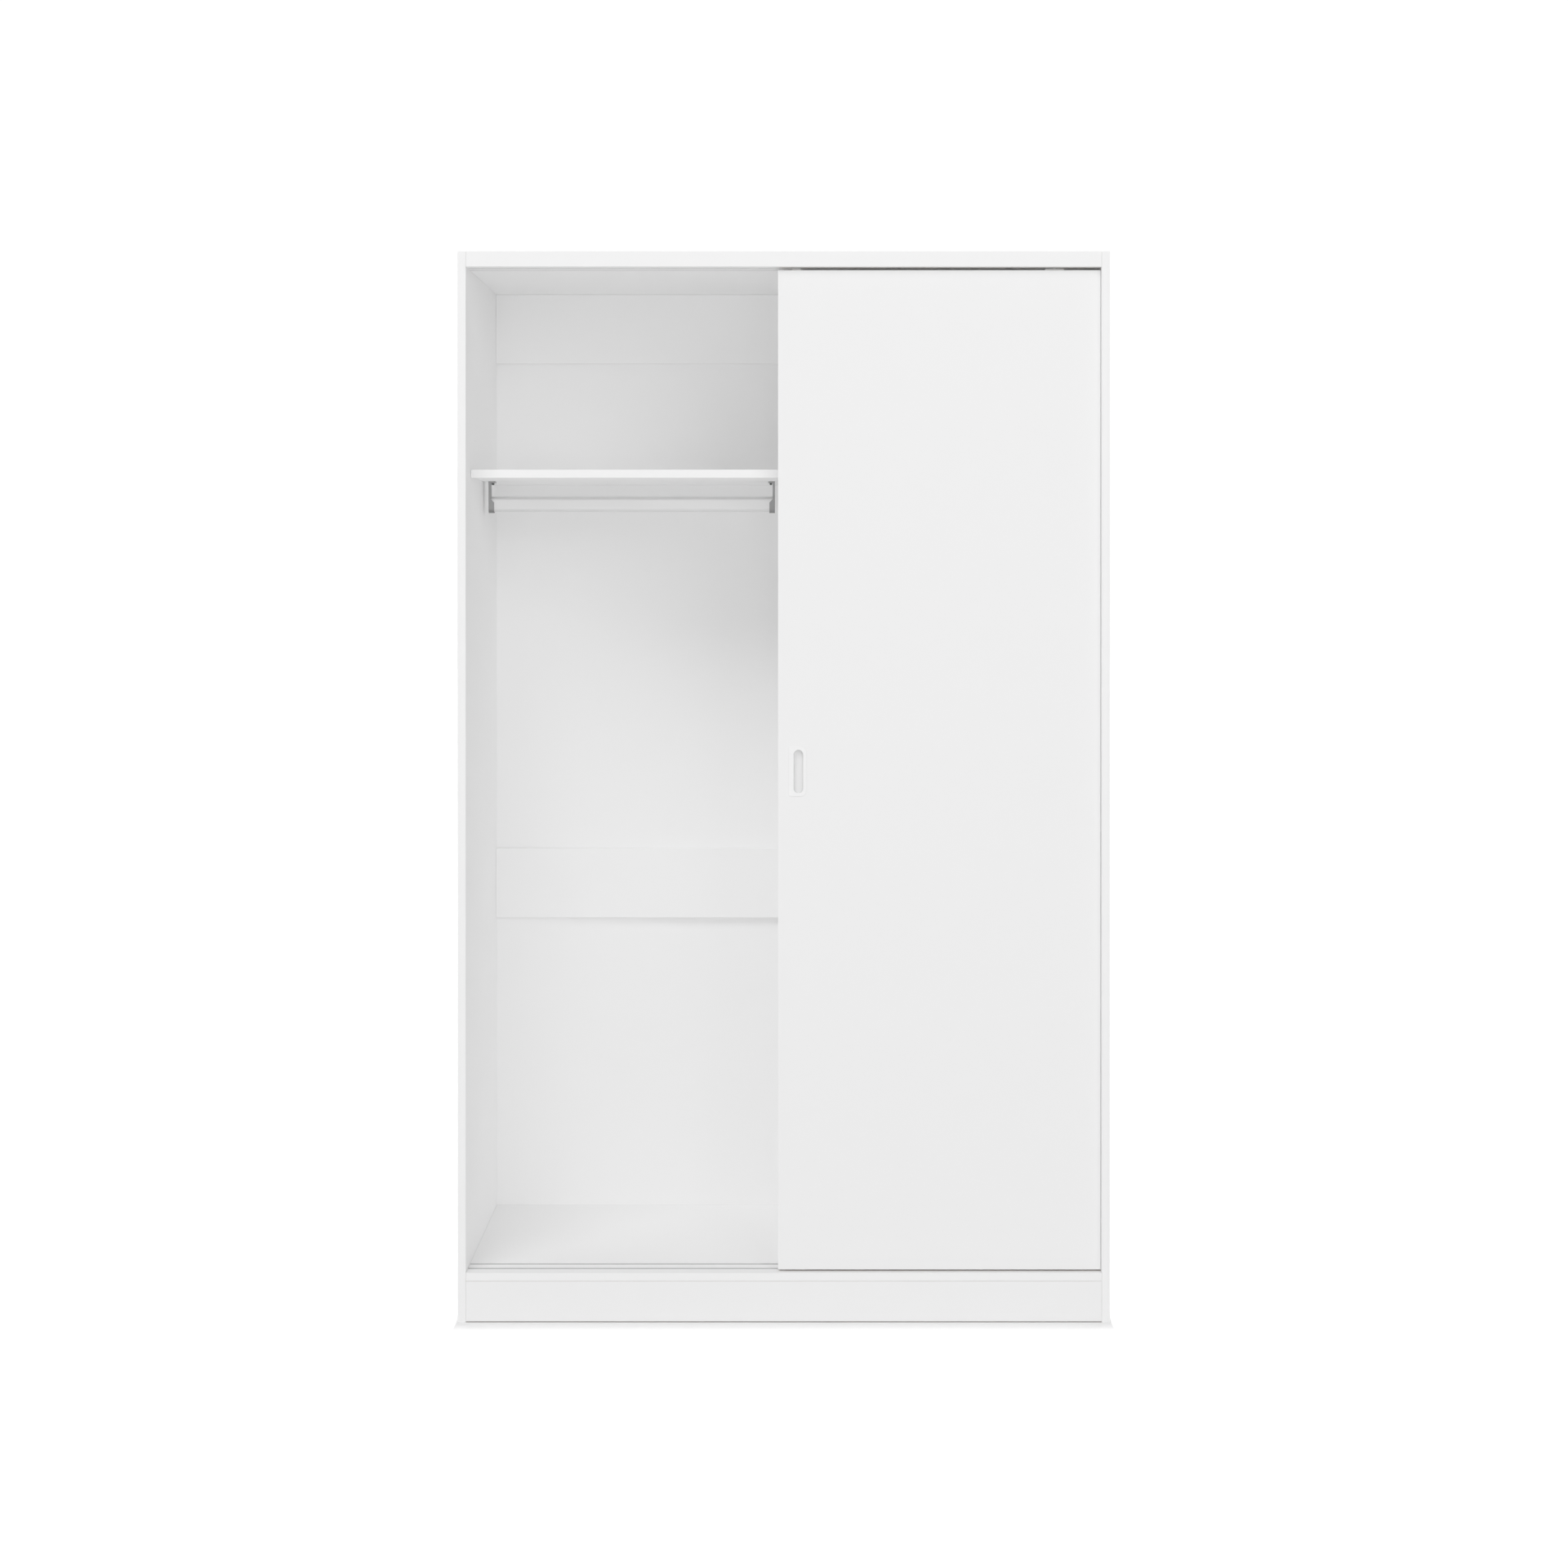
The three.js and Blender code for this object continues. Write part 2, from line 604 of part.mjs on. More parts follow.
// A plain guide: a body on the back of the door with a tongue that stands up into the top track.
function narrowGuideGeometry() {
  const tongueStart = DOOR_FACE_TO_TRACK - TONGUE.thickness / 2 - BOARD - FIT;
  const tongueEnd = tongueStart + TONGUE.thickness;
  const shape = new THREE.Shape();
  shape.moveTo(0, -NARROW_GUIDE.height);
  shape.lineTo(GUIDE_THICKNESS, -NARROW_GUIDE.height);
  shape.lineTo(GUIDE_THICKNESS, 0);
  shape.lineTo(tongueEnd, 0);
  shape.lineTo(tongueEnd, TONGUE.rise);
  shape.lineTo(tongueStart, TONGUE.rise);
  shape.lineTo(tongueStart, 0);
  shape.lineTo(0, 0);
  return drawnAlongX(shape, NARROW_GUIDE.width).translate(-NARROW_GUIDE.width / 2, 0, 0);
}

// A wider guide whose body stands just above the door and carries a round pin.
function wideGuideGeometry() {
  const { width, height, aboveDoor } = WIDE_GUIDE;
  const body = slab([-width / 2, width / 2], [0, GUIDE_THICKNESS], [aboveDoor - height, aboveDoor]);
  const pin = rodAlongZ(TONGUE.thickness / 2, TONGUE.rise, ROUND_STEPS);
  pin.translate(0, DOOR_FACE_TO_TRACK - BOARD - FIT, TONGUE.rise / 2);
  return join(body, pin);
}

function addDoor(name, trackDepth, pullSide) {
  const door = new THREE.Group();
  door.position.set(restDoorCentre, atDepth(trackDepth - DOOR_FACE_TO_TRACK), DOOR.bottom);
  wardrobe.add(door);

  const panel = slab([-DOOR.width / 2, DOOR.width / 2], [0, BOARD], [0, doorHeight]);
  addMesh(door, `${name}_panel`, cut(panel, pullMortise(pullSide)), "white_board");

  const pull = addMesh(door, `${name}_pull`, pullGeometry(pullSide), "white_plastic");
  const pullX = pullSide * (DOOR.width / 2 - recessFromEdge);
  pull.position.set(pullX, -SEAT, PULL_ABOVE_DOOR_BOTTOM);

  for (const [end, side] of Object.entries({ left: -1, right: 1 })) {
    addRoller(door, name, end, side * (DOOR.width / 2 - ROLLER_FROM_EDGE));
  }

  const narrow = addMesh(door, `${name}_guide_narrow`, narrowGuideGeometry(), "white_plastic");
  narrow.position.set(pullSide * (DOOR.width / 2 - NARROW_GUIDE.fromEdge), BOARD + FIT, doorHeight);
  const wide = addMesh(door, `${name}_guide_wide`, wideGuideGeometry(), "white_plastic");
  wide.position.set(-pullSide * (DOOR.width / 2 - WIDE_GUIDE.fromEdge), BOARD + FIT, doorHeight);
}

// ---- Assembly --------------------------------------------------------------------------------

addSidePanels();
addTopAndBottom();
addPlinth();
addDivider();
addBackRails();
addBackSheets();
addShelves(Object.values(brackets).map(bracketScrewX));
addHangingRail();
addTracks();
addDoor("door_front", TRACK_DEPTHS.front, -1);
addDoor("door_rear", TRACK_DEPTHS.rear, 1);

export default wardrobe;
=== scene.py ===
import math

import bmesh
import bpy
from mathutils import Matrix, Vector


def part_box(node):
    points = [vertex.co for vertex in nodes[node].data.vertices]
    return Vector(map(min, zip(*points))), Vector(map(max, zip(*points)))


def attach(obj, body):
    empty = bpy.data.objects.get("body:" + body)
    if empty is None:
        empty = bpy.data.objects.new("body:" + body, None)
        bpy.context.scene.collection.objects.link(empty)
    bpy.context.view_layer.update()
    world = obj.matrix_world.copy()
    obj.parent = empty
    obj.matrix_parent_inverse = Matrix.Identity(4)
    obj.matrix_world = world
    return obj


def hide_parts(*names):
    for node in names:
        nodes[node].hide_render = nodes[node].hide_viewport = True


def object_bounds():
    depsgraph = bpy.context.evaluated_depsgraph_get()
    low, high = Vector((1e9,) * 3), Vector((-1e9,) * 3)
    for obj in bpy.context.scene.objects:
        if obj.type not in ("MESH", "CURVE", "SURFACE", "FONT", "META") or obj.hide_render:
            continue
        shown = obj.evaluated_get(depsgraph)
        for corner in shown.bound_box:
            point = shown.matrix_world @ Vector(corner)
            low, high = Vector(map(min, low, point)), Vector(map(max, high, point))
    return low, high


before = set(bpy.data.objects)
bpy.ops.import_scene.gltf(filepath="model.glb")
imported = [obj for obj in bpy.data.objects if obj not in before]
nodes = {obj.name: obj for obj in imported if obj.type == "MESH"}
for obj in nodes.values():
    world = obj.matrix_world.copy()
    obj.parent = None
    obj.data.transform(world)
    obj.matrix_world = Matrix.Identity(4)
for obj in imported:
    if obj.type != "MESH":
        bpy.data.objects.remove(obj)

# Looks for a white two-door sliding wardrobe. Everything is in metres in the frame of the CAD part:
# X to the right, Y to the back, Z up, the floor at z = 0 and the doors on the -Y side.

cad_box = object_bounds()

# ---- Driving values ----------------------------------------------------------------------------

ROUND_STEPS = 64
SCREW_HEAD_STEPS = 40
SHANK_STEPS = 24
NAIL_STEPS = 16
CORNER_STEPS = 10
BOARD_EDGE_RADIUS = 0.0005
SHEET_EDGE_RADIUS = 0.0006
PLASTIC_EDGE_RADIUS = 0.0005
SHARP_ANGLE = math.radians(32)

BEVEL_ANGLE = math.radians(40)
FLAT_ANGLE = math.radians(0.5)  # neighbouring CAD facets this close to level become one face
WELD_DISTANCE = 1e-6

RAIL_WALL = 0.001

PULL_RIM_FILLET = 0.0009
PULL_LIP_FILLET = 0.0008
PULL_FLOOR_FILLET = 0.0022
PULL_WALL_DRAFT = 0.0005
PULL_EDGE_CORNER = 0.003
PULL_INNER_CORNER = 0.012
PULL_RECESS = (0.018, 0.080)
PULL_RECESS_DEPTH = 0.010
PULL_RECESS_SHIFT = 0.00125
PULL_CUP_WALL = 0.0015
PULL_CUP_CHAMFER = 0.001
PULL_PLATE_BACK_STEP = 0.0002

FITTING_SCREW_HEAD = {"radius": 0.0038, "height": 0.0022}
BRACKET_SCREW_HEAD = {"radius": 0.0030, "height": 0.0036}
SCREW_RIM = 0.0003
SCREW_CROWN_SHARE = 0.35
# The cross recess: the length and half width of an arm as shares of the head's radius, its depth as
# a share of the head's height, and how far its arms narrow towards the bottom.
SCREW_CROSS = {"arm": (0.55, 0.13), "depth": 0.6, "taper": 0.55, "overcut": 0.001}

FITTING_SCREW_SPACING = {"housing": 0.027, "guide": 0.020}
HOUSING_SCREW_BELOW_TOP = 0.007
GUIDE_SCREW_ABOVE_FOOT = 0.009
GUIDE_BEHIND_DOOR = 0.010

WHEEL = {"bore": 0.0023, "hub": 0.0048, "rim": 0.0102, "web": 0.0012, "edge": 0.0007}
WHEEL_BREAK = 0.0003  # rounding of the small edges of a wheel and an axle
WHEEL_CROWN = 0.0004
AXLE_PIN_RADIUS = 0.002
AXLE_HEAD_HEIGHT = 0.001

BRACKET_GAP = 0.0003
BRACKET_CRADLE = 0.011
BRACKET_TAB = {"reach": 0.013, "thickness": 0.003}
BRACKET_ARM_TOP = 0.010
BRACKET_EDGE_RADIUS = 0.0005
BRACKET_SCREW_SHANK = {"radius": 0.0015, "length": 0.010}

CRADLE_RIB_HEIGHT = 0.0012
CRADLE_RIB_RISE = 0.0006
CRADLE_RIB_LEVELS = (0.0018, 0.0058)

SEAM_TAPE_WIDTH = 0.030
SEAM_TAPE_THICKNESS = 0.00025

NAIL_PITCH = 0.115
NAIL_EDGE_DISTANCE = 0.0075
NAIL_HEAD_RADIUS = 0.0026
NAIL_HEAD_HEIGHT = 0.0006

CAMERA = {"place": (0.0077, -5.098, 1.392), "lens": 60.40, "shift": (-0.0025, -0.1393)}

# Each light: azimuth and elevation in degrees, size in metres, power in watts.
LIGHTS = {
    "key": (-25, 45, (4.0, 4.0), 288.0),
    "front": (25, 20, (4.0, 4.0), 153.0),
    "low_fill": (0, -3, (3.0, 1.6), 60.0),
    "rear_left": (-145, 30, (4.0, 4.0), 150.0),
    "rear_right": (145, 30, (4.0, 4.0), 150.0),
}
LIGHT_DISTANCE = 9.0
AMBIENT = 0.2
BACKGROUND = 1.05
GAMMA = 1.75
DIFFUSE_BOUNCES = 8
FLOOR_REACH = 30.0
FLOOR_GLOW = 1.1
# Over these distances from the wardrobe's sides the floor's glow fades in; the band without glow is a
# painted contact shadow.
FLOOR_PAINTED_SHADOW_REACH = {"X": 0.008, "Y": 0.12}


# ---- Materials ---------------------------------------------------------------------------------


class Finish:
    """A procedural material whose detail is laid out in the piece's own metres."""

    def __init__(self, name, **uniform):
        self.material = bpy.data.materials.new(name)
        self.material.use_nodes = True
        self.tree = self.material.node_tree
        self.shader = self.tree.nodes["Principled BSDF"]
        for socket, value in uniform.items():
            self.shader.inputs[socket.replace("_", " ")].default_value = value
        self.place = self.tree.nodes.new("ShaderNodeTexCoord")

    def link(self, source, target):
        self.tree.links.new(source, target)

    def noise(self, per_metre, detail=2.0, stretch=(1.0, 1.0, 1.0)):
        """Noise with so many features per metre; a stretch under 1 draws it out along that axis."""
        mapping = self.tree.nodes.new("ShaderNodeMapping")
        mapping.inputs["Scale"].default_value = [per_metre * share for share in stretch]
        noise = self.tree.nodes.new("ShaderNodeTexNoise")
        noise.inputs["Scale"].default_value = 1.0
        noise.inputs["Detail"].default_value = detail
        self.link(self.place.outputs["Object"], mapping.inputs["Vector"])
        self.link(mapping.outputs["Vector"], noise.inputs["Vector"])
        return noise.outputs["Fac"]

    def number(self, factor, low, high):
        """A number that goes from low to high as the factor goes over the middle of its range."""
        node = self.tree.nodes.new("ShaderNodeMapRange")
        node.inputs["From Min"].default_value = 0.3
        node.inputs["From Max"].default_value = 0.7
        node.inputs["To Min"].default_value = low
        node.inputs["To Max"].default_value = high
        self.link(factor, node.inputs["Value"])
        return node.outputs["Result"]

    def colour(self, factor, low, high):
        """A colour mixed from low to high; each is an RGB triple or the output of another mix."""
        node = self.tree.nodes.new("ShaderNodeMix")
        node.data_type = "RGBA"
        factor_in, colours_in = node.inputs[0], node.inputs[6:8]
        self.link(factor, factor_in)
        for socket, value in zip(colours_in, (low, high)):
            if isinstance(value, tuple):
                socket.default_value = (*value, 1.0)
            else:
                self.link(value, socket)
        return node.outputs[2]

    def maths(self, operation, *values):
        """One step of arithmetic on numbers and on the outputs of other nodes."""
        node = self.tree.nodes.new("ShaderNodeMath")
        node.operation = operation
        for socket, value in zip(node.inputs, values):
            if isinstance(value, float):
                socket.default_value = value
            else:
                self.link(value, socket)
        return node.outputs["Value"]

    def along(self, axis, kind="Object"):
        """The place of a point along an axis, or its normal's share of that axis."""
        parts = self.tree.nodes.new("ShaderNodeSeparateXYZ")
        self.link(self.place.outputs[kind], parts.inputs["Vector"])
        return parts.outputs[axis]

    def facing(self, axis):
        """1 where the surface faces along that axis, in either direction, and 0 where it doesn't."""
        return self.number(self.maths("ABSOLUTE", self.along(axis, "Normal")), 0.0, 1.0)

    def facing_back(self):
        """1 where the surface faces +Y, and 0 where it doesn't."""
        return self.number(self.along("Y", "Normal"), 0.0, 1.0)

    def set(self, socket, source):
        self.link(source, self.shader.inputs[socket])

    def bump(self, height, distance, strength=1.0):
        node = self.tree.nodes.new("ShaderNodeBump")
        node.inputs["Distance"].default_value = distance
        node.inputs["Strength"].default_value = strength
        self.link(height, node.inputs["Height"])
        self.link(node.outputs["Normal"], self.shader.inputs["Normal"])


def grey(value, warmth=0.0):
    return (value, value - warmth / 2, value - warmth)


def white_board(name, face_axis, raw_axis=None):
    """Melamine-faced board: a fine pearl texture on its faces and a smoother band on its edges.

    The two edges across raw_axis are bare particle board, as where they never show.
    """
    finish = Finish(name, IOR=1.5)
    face = finish.colour(finish.noise(3.0), grey(0.892), grey(0.904))
    fleck = finish.colour(finish.noise(900.0, 1.0), grey(0.886), grey(0.910))
    mottled = finish.tree.nodes.new("ShaderNodeMix")
    mottled.data_type = "RGBA"
    mottled.inputs[0].default_value = 0.5
    finish.link(face, mottled.inputs[6])
    finish.link(fleck, mottled.inputs[7])
    whole = finish.colour(finish.facing(face_axis), grey(0.925), mottled.outputs[2])
    if raw_axis:
        chips = finish.colour(finish.noise(380.0, 3.0), (0.17, 0.11, 0.06), (0.34, 0.24, 0.145))
        whole = finish.colour(finish.facing(raw_axis), whole, chips)
    finish.set("Base Color", whole)
    pearl = finish.noise(1100.0, 1.5)
    finish.set("Roughness", finish.number(finish.noise(14.0, 4.0), 0.50, 0.60))
    finish.bump(pearl, 0.00003, 0.6)
    return finish.material


def back_sheet():
    """Thin hardboard: painted white inside, bare brown fibres outside and on the edges."""
    finish = Finish("back_sheet", IOR=1.5)
    paint = finish.colour(finish.noise(5.0, 3.0), grey(0.888), grey(0.902))
    fibre = finish.noise(420.0, 5.0, (1.0, 1.0, 0.35))
    cloud = finish.noise(7.0, 4.0)
    dark_brown, mid_brown = (0.190, 0.105, 0.050), (0.290, 0.168, 0.084)
    light_brown = (0.360, 0.222, 0.120)
    bare = finish.colour(fibre, dark_brown, finish.colour(cloud, mid_brown, light_brown))
    finish.set("Base Color", finish.colour(finish.facing_back(), paint, bare))
    finish.set("Roughness", finish.number(finish.facing_back(), 0.5, 0.78))
    finish.bump(fibre, 0.00008, 0.5)
    return finish.material


def moulded_plastic(name, light, dark):
    finish = Finish(name, IOR=1.49, Coat_Weight=0.15, Coat_Roughness=0.2)
    finish.set("Base Color", finish.colour(finish.noise(40.0), grey(dark), grey(light)))
    finish.set("Roughness", finish.number(finish.noise(160.0, 3.0), 0.28, 0.38))
    finish.bump(finish.noise(2600.0, 1.0), 0.000012, 0.5)
    return finish.material


def seam_tape():
    """Creped paper tape, its wrinkles running along the seam."""
    finish = Finish("seam_tape", IOR=1.45)
    crepe = finish.noise(900.0, 3.0, (0.15, 1.0, 1.0))
    finish.set("Base Color", finish.colour(crepe, grey(0.70, 0.02), grey(0.80, 0.02)))
    finish.set("Roughness", finish.number(crepe, 0.6, 0.75))
    finish.bump(crepe, 0.00008, 0.6)
    return finish.material


def nylon():
    """Natural nylon with a tread greyed a little by rolling."""
    finish = Finish("nylon", IOR=1.53)
    streaks = finish.noise(700.0, 3.0, (1.0, 0.15, 1.0))
    finish.set("Base Color", finish.colour(streaks, grey(0.60, 0.03), grey(0.76, 0.03)))
    finish.set("Roughness", finish.number(streaks, 0.42, 0.6))
    finish.bump(streaks, 0.00004, 0.5)
    return finish.material


def metal(name, light, dark, roughness, grain_per_metre, stretch, depth):
    """Bare or plated metal with a grain drawn out along one axis."""
    finish = Finish(name, Metallic=1.0)
    grain = finish.noise(grain_per_metre, 3.0, stretch)
    finish.set("Base Color", finish.colour(grain, dark, light))
    finish.set("Roughness", finish.number(grain, *roughness))
    finish.bump(grain, depth, 0.4)
    return finish.material


finishes = {
    "white_board_x": white_board("white_board_x", "X"),
    "white_board_y": white_board("white_board_y", "Y"),
    "white_board_z": white_board("white_board_z", "Z"),
    "raw_edged_board": white_board("raw_edged_board", "Y", raw_axis="Z"),
    "back_sheet": back_sheet(),
    "white_plastic": moulded_plastic("white_plastic", 0.896, 0.880),
    # Greyer plastic for the inside of the pull's cup: painted shade in the recess.
    "pull_cup_painted_shade": moulded_plastic("pull_cup_painted_shade", 0.74, 0.72),
    "grey_plastic": moulded_plastic("grey_plastic", 0.50, 0.46),
    "seam_tape": seam_tape(),
    "nylon": nylon(),
    "zinc": metal("zinc", grey(0.20), grey(0.15), (0.34, 0.5), 900.0, (1.0, 1.0, 1.0), 0.00002),
    "bright_metal": metal(
        "bright_metal", grey(0.72), grey(0.69), (0.46, 0.52), 1400.0, (0.01, 1.0, 1.0), 0.000006
    ),
    "black_steel": metal(
        "black_steel", grey(0.045), grey(0.03), (0.4, 0.55), 900.0, (1.0, 1.0, 1.0), 0.00001
    ),
    "steel": metal("steel", grey(0.46), grey(0.36), (0.26, 0.4), 1200.0, (1.0, 0.1, 1.0), 0.00001),
}


# ---- Meshes ------------------------------------------------------------------------------------


class Shell:
    """The points and faces of a piece while it is built."""

    def __init__(self):
        self.points = []
        self.faces = []

    def ring(self, points):
        first = len(self.points)
        self.points.extend(points)
        return list(range(first, len(self.points)))

    def bridge(self, ring, following):
        """Quads between two rings that hold the same number of points."""
        for i in range(len(ring)):
            j = (i + 1) % len(ring)
            self.faces.append((ring[i], ring[j], following[j], following[i]))

    def loft(self, rings, closed=False):
        """A skin over rings of points; its ends are capped, or joined when the loft is closed."""
        made = [self.ring(points) for points in rings]
        for ring, following in zip(made, made[1:]):
            self.bridge(ring, following)
        if closed:
            self.bridge(made[-1], made[0])
        else:
            self.faces.append(tuple(reversed(made[0])))
            self.faces.append(tuple(made[-1]))
        return self

    def mesh(self, name="shell"):
        mesh = bpy.data.meshes.new(name)
        mesh.from_pydata([tuple(point) for point in self.points], [], self.faces)
        clean(mesh)
        return mesh


def clean(mesh):
    """Joins points that coincide, drops what has no area, and turns the faces outwards."""
    work = bmesh.new()
    work.from_mesh(mesh)
    bmesh.ops.remove_doubles(work, verts=work.verts, dist=1e-6)
    bmesh.ops.dissolve_degenerate(work, edges=work.edges, dist=1e-7)
    bmesh.ops.recalc_face_normals(work, faces=work.faces)
    work.to_mesh(mesh)
    work.free()


def combined(base, tools, operation):
    """The mesh of base joined with, or cut by, each mesh in tools."""
    scene = bpy.context.scene
    target = bpy.data.objects.new("target", base)
    scene.collection.objects.link(target)
    helpers = [target]
    for tool in tools:
        helper = bpy.data.objects.new("tool", tool)
        scene.collection.objects.link(helper)
        helpers.append(helper)
        modifier = target.modifiers.new("boolean", "BOOLEAN")
        modifier.object = helper
        modifier.operation = operation
        modifier.solver = "EXACT"
    graph = bpy.context.evaluated_depsgraph_get()
    result = bpy.data.meshes.new_from_object(target.evaluated_get(graph))
    for helper in helpers:
        bpy.data.objects.remove(helper)
    clean(result)
    return result


def rounded(mesh, radius, segments=3, angle=SHARP_ANGLE):
    """Rounds every edge of the mesh that is sharper than the angle."""
    work = bmesh.new()
    work.from_mesh(mesh)
    flat = math.radians(1)
    bmesh.ops.dissolve_limit(work, angle_limit=flat, verts=work.verts, edges=work.edges)
    sharp = [e for e in work.edges if e.is_manifold and e.calc_face_angle() > angle]
    bmesh.ops.bevel(
        work,
        geom=sharp,
        offset=radius,
        segments=segments,
        profile=0.5,
        affect="EDGES",
        clamp_overlap=True,
    )
    work.to_mesh(mesh)
    work.free()
    return mesh


def even_out(piece):
    """Keeps large flat faces flat in the shading, beside their rounded edges."""
    weighted = piece.modifiers.new("even", "WEIGHTED_NORMAL")
    weighted.weight = 100
    weighted.keep_sharp = True


def add_piece(name, mesh, finish, body, replaced=()):
    mesh.name = name
    mesh.materials.clear()
    mesh.materials.append(finishes[finish])
    mesh.polygons.foreach_set("use_smooth", [True] * len(mesh.polygons))
    mesh.set_sharp_from_angle(angle=SHARP_ANGLE)
    piece = bpy.data.objects.new(name, mesh)
    bpy.context.scene.collection.objects.link(piece)
    even_out(piece)
    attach(piece, body)
    if replaced:
        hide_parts(*replaced)
    return piece


# ---- Outlines ----------------------------------------------------------------------------------


def rounded_outline(width, height, left_radius, right_radius, grow=0.0):
    """A rounded rectangle about the origin, with its own radius on each side, grown outwards."""
    half_width, half_height = width / 2 + grow, height / 2 + grow
    corners = [
        (1, -1, -90, right_radius),
        (1, 1, 0, right_radius),
        (-1, 1, 90, left_radius),
        (-1, -1, 180, left_radius),
    ]
    points = []
    for side, level, start, radius in corners:
        bend = max(radius + grow, 1e-5)
        centre = (side * (half_width - bend), level * (half_height - bend))
        for step in range(CORNER_STEPS + 1):
            turn = math.radians(start + 90 * step / CORNER_STEPS)
            points.append((centre[0] + bend * math.cos(turn), centre[1] + bend * math.sin(turn)))
    return points


def slot_outline(width, height, grow=0.0):
    """An upright slot with full-round ends, about the origin, grown outwards."""
    return rounded_outline(width, height, width / 2, width / 2, grow)


def along_x(outline, x, y, z):
    """An outline of (Y, Z) points at one X."""
    return [(x, y + u, z + w) for u, w in outline]


def along_y(outline, x, y, z):
    """An outline of (X, Z) points at one Y."""
    return [(x + u, y, z + w) for u, w in outline]


def along_z(outline, x, y, z):
    """An outline of (X, Y) points at one Z."""
    return [(x + u, y + w, z) for u, w in outline]


ACROSS = {"Y": along_y, "Z": along_z}  # lays an outline out across an axis
UNIT = {"Y": Vector((0, 1, 0)), "Z": Vector((0, 0, 1))}


def circle(radius, steps=ROUND_STEPS):
    turns = [2 * math.pi * step / steps for step in range(steps)]
    return [(radius * math.cos(turn), radius * math.sin(turn)) for turn in turns]


def fillet(radius, steps=5):
    """(in, up) points of a quarter round, from its foot (0, 0) to its top (radius, radius)."""
    turns = [math.pi / 2 * step / steps for step in range(steps + 1)]
    return [(radius * (1 - math.cos(turn)), radius * math.sin(turn)) for turn in turns]


# ---- CAD nodes that stay -----------------------------------------------------------------------


def thin_axis(node):
    low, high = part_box(node)
    size = high - low
    return "XYZ"[min(range(3), key=lambda axis: size[axis])].lower()


def smooth_by_angle():
    """A node group that shades round surfaces smooth and keeps the edges between flat ones."""
    group = bpy.data.node_groups.new("smooth_by_angle", "GeometryNodeTree")
    group.interface.new_socket("Geometry", in_out="INPUT", socket_type="NodeSocketGeometry")
    group.interface.new_socket("Geometry", in_out="OUTPUT", socket_type="NodeSocketGeometry")
    start = group.nodes.new("NodeGroupInput")
    end = group.nodes.new("NodeGroupOutput")
    faces = group.nodes.new("GeometryNodeSetShadeSmooth")
    edges = group.nodes.new("GeometryNodeSetShadeSmooth")
    edges.domain = "EDGE"
    edges.inputs["Shade Smooth"].default_value = False
    angle = group.nodes.new("GeometryNodeInputMeshEdgeAngle")
    sharp = group.nodes.new("FunctionNodeCompare")
    sharp.operation = "GREATER_THAN"
    sharp.inputs["B"].default_value = SHARP_ANGLE
    group.links.new(start.outputs["Geometry"], faces.inputs["Geometry"])
    group.links.new(faces.outputs["Geometry"], edges.inputs["Geometry"])
    group.links.new(angle.outputs["Unsigned Angle"], sharp.inputs["A"])
    group.links.new(sharp.outputs["Result"], edges.inputs["Selection"])
    group.links.new(edges.outputs["Geometry"], end.inputs["Geometry"])
    return group


smoothing = smooth_by_angle()


def soften(node, radius, segments=2):
    """Rounds the sharp edges of a CAD node with modifiers, so its own mesh stays as it is."""
    piece = nodes[node]
    weld = piece.modifiers.new("weld", "WELD")
    weld.merge_threshold = WELD_DISTANCE
    flat = piece.modifiers.new("flat", "DECIMATE")
    flat.decimate_type = "DISSOLVE"
    flat.angle_limit = FLAT_ANGLE
    bevel = piece.modifiers.new("bevel", "BEVEL")
    bevel.width = radius
    bevel.segments = segments
    bevel.limit_method = "ANGLE"
    bevel.angle_limit = BEVEL_ANGLE
    bevel.use_clamp_overlap = True
    smooth = piece.modifiers.new("smooth", "NODES")
    smooth.node_group = smoothing
    even_out(piece)


def dress(node, finish):
    piece = nodes[node]
    piece.data.materials.clear()
    piece.data.materials.append(finishes[finish])


BOARDS = [
    "side_panel_left",
    "side_panel_right",
    "top_panel",
    "bottom_panel",
    "plinth_front",
    "plinth_rear",
    "plinth_brace",
    "centre_divider",
    "top_rail_left",
    "top_rail_right",
    "middle_rail_left",
    "middle_rail_right",
    "shelf_left",
    "shelf_right_upper",
    "shelf_right_middle",
    "shelf_right_lower",
    "door_front_panel",
    "door_rear_panel",
]


RAW_EDGED = ("door_front_panel", "door_rear_panel", "plinth_front", "plinth_rear")


def dress_cad_nodes():
    for board in BOARDS:
        finish = "raw_edged_board" if board in RAW_EDGED else "white_board_" + thin_axis(board)
        dress(board, finish)
        soften(board, BOARD_EDGE_RADIUS)
    for sheet in ("back_panel_upper", "back_panel_lower"):
        dress(sheet, "back_sheet")
        soften(sheet, SHEET_EDGE_RADIUS)
    for node in nodes:
        if "track" in node or "guide" in node or "housing" in node:
            finish = "grey_plastic" if "track" in node else "white_plastic"
            dress(node, finish)
            soften(node, PLASTIC_EDGE_RADIUS)
        if "shelf_pin" in node:
            dress(node, "steel")
            soften(node, PLASTIC_EDGE_RADIUS)


# ---- Hanging rail ------------------------------------------------------------------------------


